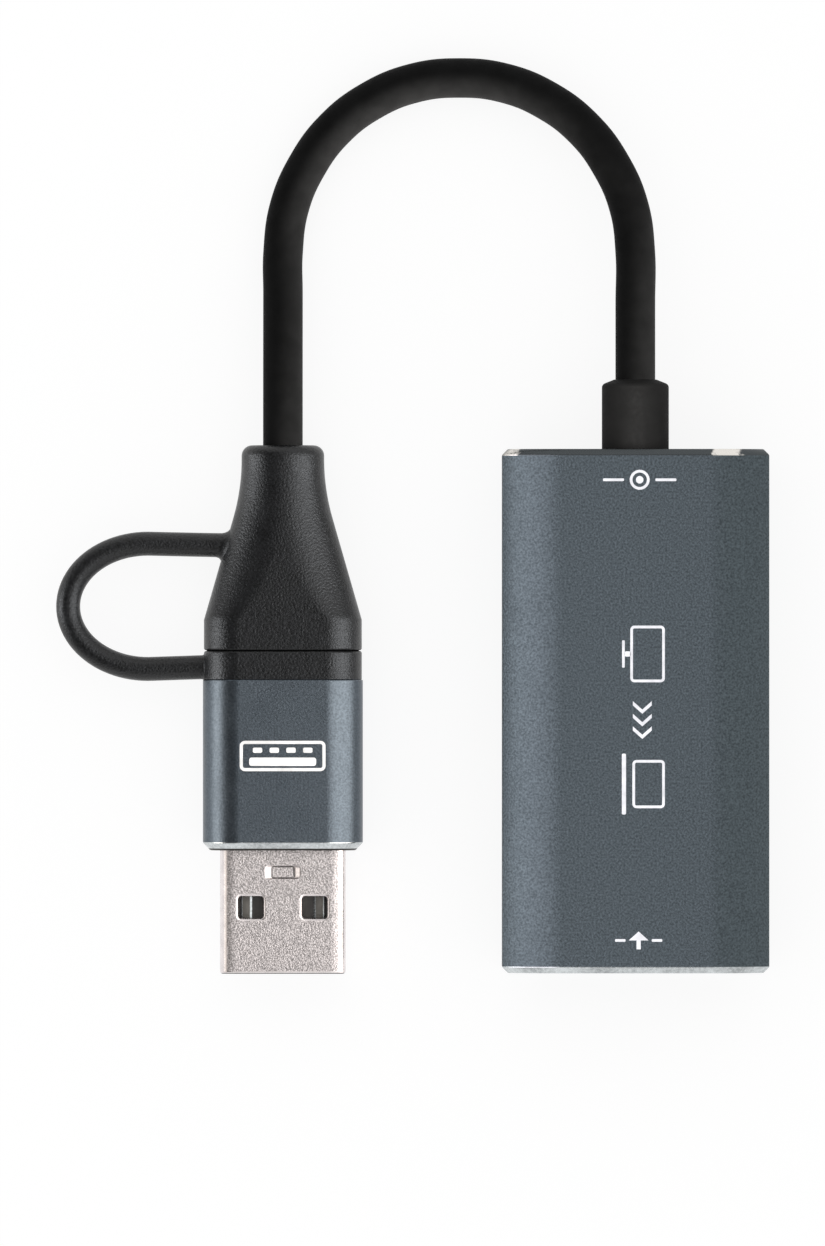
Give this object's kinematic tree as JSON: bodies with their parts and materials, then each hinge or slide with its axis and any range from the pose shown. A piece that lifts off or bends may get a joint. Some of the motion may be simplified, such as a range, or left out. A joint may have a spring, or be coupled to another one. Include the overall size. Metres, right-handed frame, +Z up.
{
  "type": "video capture box",
  "caption": "Slim aluminium video capture box with a video socket at one end and a short lead at the other, ending in a plug with a tethered push-on adapter.",
  "frame": {"origin": "middle of the sleeve's flat underside, on the table", "axes": "+Y along the sleeve from the video socket to the lead, +Z up out of the table, +X to the right"},
  "size_m": [0.0681, 0.0876, 0.012],
  "materials": {
    "anodised_sleeve": "bead-blasted slate grey anodising with bright cut bevels",
    "anodised_adapter": "satin slate grey anodising with a bright cut bevel",
    "black_plate": "smooth black moulding",
    "circuit_board": "green solder mask",
    "plated_steel": "nickel plating",
    "satin_steel": "fine blasted nickel plating",
    "black_insulator": "moulded insulator",
    "gold_contacts": "gold flash",
    "chip_body": "moulded epoxy",
    "thermal_pad": "soft silicone",
    "ferrite": "ferrite and epoxy",
    "ceramic": "fired ceramic with tinned ends",
    "wire_jackets": "smooth insulation",
    "lead_rubber": "smooth satin jacket",
    "grained_rubber": "fine grained soft moulding",
    "inner_mould": "natural moulding"
  },
  "bodies": {
    "capture_box": {"case_sleeve": "anodised_sleeve", "input_plate": "black_plate", "lead_plate": "black_plate", "main_board": "circuit_board", "video_shell": "plated_steel", "video_insulator": "black_insulator", "video_contacts": "gold_contacts", "capture_chip": "chip_body", "thermal_pad": "thermal_pad", "memory_chip": "chip_body", "crystal": "plated_steel", "inductor": "ferrite", "voltage_regulator": "chip_body", "chip_capacitors": "ceramic", "cable_wires": "wire_jackets", "strain_relief": "lead_rubber", "cable": "lead_rubber", "plug_boot": "grained_rubber", "plug_core": "inner_mould", "plug_board": "circuit_board", "type_c_shell": "plated_steel", "type_c_insulator": "black_insulator", "type_c_contacts": "gold_contacts", "tether": "grained_rubber"},
    "adapter": {"adapter_ring": "grained_rubber", "adapter_shell": "anodised_adapter", "adapter_core": "black_plate", "adapter_board": "circuit_board", "socket_shell": "plated_steel", "socket_insulator": "black_insulator", "socket_contacts": "gold_contacts", "type_a_shell": "satin_steel", "type_a_insulator": "black_insulator", "type_a_contacts": "gold_contacts"}
  },
  "joints": [
    {"name": "adapter_pull", "type": "slide", "parent": "capture_box", "child": "adapter", "axis": [0, -1, 0], "range_m": [0, 0.008], "deforming": ["tether"]}
  ]
}
